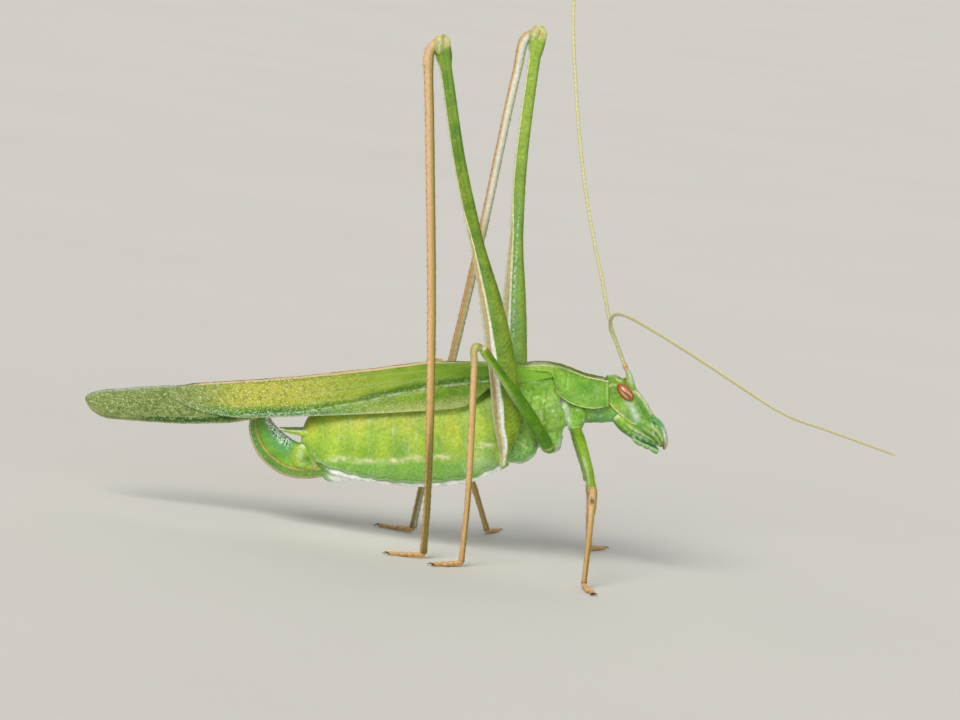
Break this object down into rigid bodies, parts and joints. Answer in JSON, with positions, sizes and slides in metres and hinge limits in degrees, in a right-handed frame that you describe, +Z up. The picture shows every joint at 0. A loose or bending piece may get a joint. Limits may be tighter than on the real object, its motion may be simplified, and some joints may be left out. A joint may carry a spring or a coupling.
{
  "type": "long horned grasshopper",
  "caption": "Slender green long horned grasshopper, a standing female with tall folded hind legs, narrow wing cases, a sickle-shaped egg blade and very long feelers.",
  "frame": {"origin": "on the floor, under the middle of the whole outline, feelers included", "axes": "+X forward along the trunk, +Y to the animal's left, +Z up; the trunk is carried 8 degrees head up"},
  "size_m": [0.0418, 0.0556, 0.0692],
  "materials": {
    "green_cuticle": "satin green insect cuticle, softly waxy",
    "wing_leather": "thin leathery wing case with a fine net of veins",
    "straw_cuticle": "straw to peach coloured cuticle of the shins and feet",
    "pale_cuticle": "cream cuticle of the feelers and palps",
    "eye": "smooth banded compound eye"
  },
  "bodies": {
    "root": {"tegmen_r": "wing_leather", "hindwing_r": "wing_leather", "tegmen_l": "wing_leather", "hindwing_l": "wing_leather", "pronotum": "green_cuticle", "abdomen": "green_cuticle", "thorax": "green_cuticle", "ovipositor": "green_cuticle", "subgenital_plate": "green_cuticle", "cercus_r": "green_cuticle", "cercus_l": "green_cuticle", "head": "green_cuticle", "eye_r": "eye", "scape_r": "pale_cuticle", "eye_l": "eye", "scape_l": "pale_cuticle", "labrum": "green_cuticle", "mouthparts": "green_cuticle", "palp_r": "pale_cuticle", "palp_l": "pale_cuticle", "antenna_r_1": "pale_cuticle", "antenna_r_2": "pale_cuticle", "antenna_r_3": "pale_cuticle", "antenna_l_1": "pale_cuticle", "antenna_l_2": "pale_cuticle", "antenna_l_3": "pale_cuticle", "hind_r_coxa": "green_cuticle", "hind_r_femur": "green_cuticle", "hind_r_tibia": "straw_cuticle", "hind_r_tarsus": "straw_cuticle", "hind_l_coxa": "green_cuticle", "hind_l_femur": "green_cuticle", "hind_l_tibia": "straw_cuticle", "hind_l_tarsus": "straw_cuticle", "mid_r_coxa": "green_cuticle", "mid_r_femur": "green_cuticle", "mid_r_tibia": "straw_cuticle", "mid_r_tarsus": "straw_cuticle", "mid_l_coxa": "green_cuticle", "mid_l_femur": "green_cuticle", "mid_l_tibia": "straw_cuticle", "mid_l_tarsus": "straw_cuticle", "fore_r_coxa": "green_cuticle", "fore_r_femur": "green_cuticle", "fore_r_tibia": "straw_cuticle", "fore_r_tarsus": "straw_cuticle", "fore_l_coxa": "green_cuticle", "fore_l_femur": "green_cuticle", "fore_l_tibia": "straw_cuticle", "fore_l_tarsus": "straw_cuticle"}
  },
  "joints": []
}
